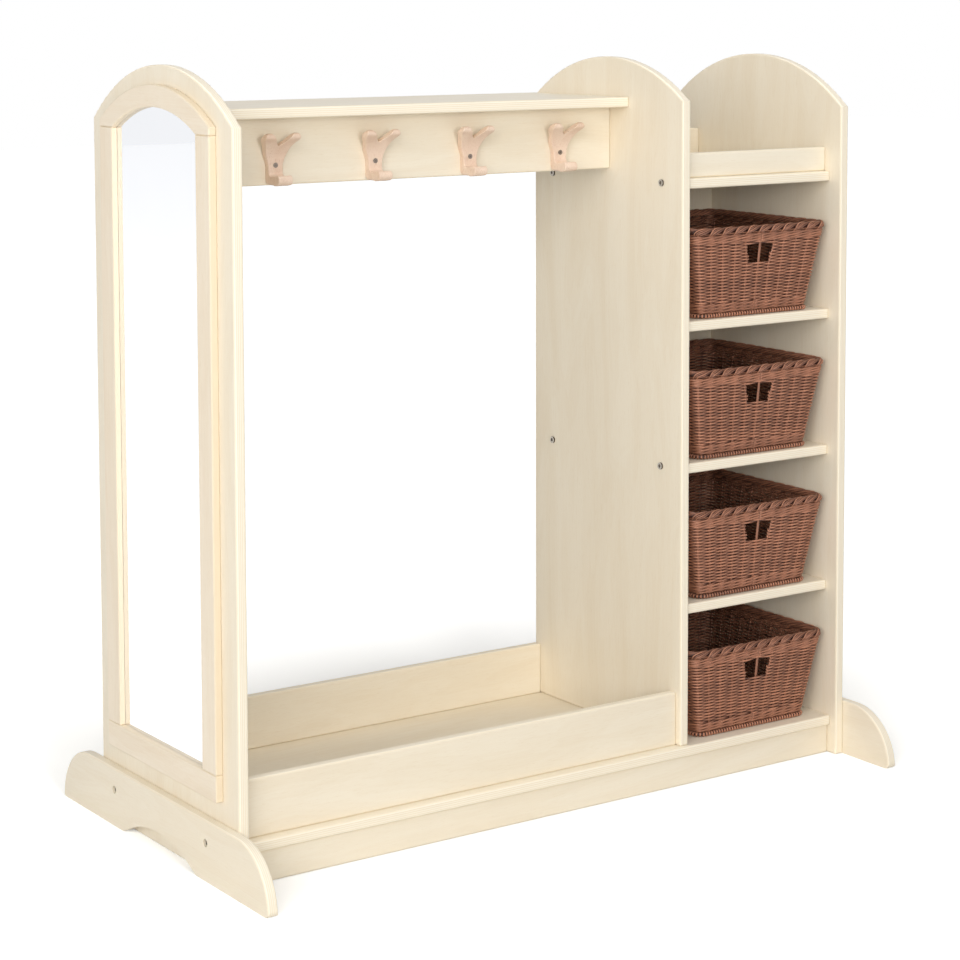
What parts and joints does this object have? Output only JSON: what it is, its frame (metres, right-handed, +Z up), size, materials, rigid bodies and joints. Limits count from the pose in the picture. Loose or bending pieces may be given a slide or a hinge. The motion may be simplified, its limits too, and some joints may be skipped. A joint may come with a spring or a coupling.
{
  "type": "dress up storage unit with mirror",
  "caption": "Children's plywood dress-up stand with a coat bay, wooden hooks, an open trough, shelves of sliding woven baskets, an arched end mirror and bracket feet.",
  "frame": {"origin": "on the floor under the middle of the unit", "axes": "+X to the right as seen from the front, -Y to the front, +Z up"},
  "size_m": [1.08, 0.5992, 1.0669],
  "materials": {
    "plywood": "clear satin lacquer on pale birch veneer",
    "frame_wood": "clear satin lacquer on pale solid wood",
    "thin_plywood": "clear satin lacquer on thin birch plywood",
    "hook_wood": "oiled beech, slightly pink",
    "dowel_wood": "plain beech",
    "mirror_glass": "silvered glass",
    "zinc_steel": "zinc plated",
    "woven_strand": "brown woven strand"
  },
  "bodies": {
    "cabinet": {"left_end_panel": "plywood", "right_end_panel": "plywood", "mid_panel": "plywood", "left_foot": "plywood", "right_foot": "plywood", "base_shelf": "plywood", "front_plinth": "plywood", "back_plinth": "plywood", "trough_front_board": "plywood", "trough_back_board": "plywood", "top_shelf": "plywood", "hook_board": "plywood", "mirror_frame_arch": "frame_wood", "mirror_frame_back_stile": "frame_wood", "mirror_frame_front_stile": "frame_wood", "mirror_frame_rail": "frame_wood", "mirror": "mirror_glass", "bay_shelf_1": "plywood", "bay_shelf_2": "plywood", "bay_shelf_3": "plywood", "bay_shelf_4": "plywood", "gallery_rail": "plywood", "gallery_back": "plywood", "bay_back_panel": "thin_plywood", "coat_hook_1": "hook_wood", "coat_hook_2": "hook_wood", "coat_hook_3": "hook_wood", "coat_hook_4": "hook_wood", "hook_screws": "zinc_steel", "foot_bolts": "zinc_steel", "shelf_bolts": "zinc_steel", "barrel_nuts": "zinc_steel", "wooden_dowels": "dowel_wood", "base_screws": "zinc_steel"},
    "basket_1": {"basket_walls_1": "woven_strand", "basket_rim_1": "woven_strand", "basket_base_1": "woven_strand"},
    "basket_2": {"basket_walls_2": "woven_strand", "basket_rim_2": "woven_strand", "basket_base_2": "woven_strand"},
    "basket_3": {"basket_walls_3": "woven_strand", "basket_rim_3": "woven_strand", "basket_base_3": "woven_strand"},
    "basket_4": {"basket_walls_4": "woven_strand", "basket_rim_4": "woven_strand", "basket_base_4": "woven_strand"}
  },
  "joints": [
    {"name": "basket_1_slide", "type": "slide", "parent": "cabinet", "child": "basket_1", "axis": [0, -1, 0], "range_m": [0, 0.3]},
    {"name": "basket_2_slide", "type": "slide", "parent": "cabinet", "child": "basket_2", "axis": [0, -1, 0], "range_m": [0, 0.3]},
    {"name": "basket_3_slide", "type": "slide", "parent": "cabinet", "child": "basket_3", "axis": [0, -1, 0], "range_m": [0, 0.3]},
    {"name": "basket_4_slide", "type": "slide", "parent": "cabinet", "child": "basket_4", "axis": [0, -1, 0], "range_m": [0, 0.3]}
  ]
}
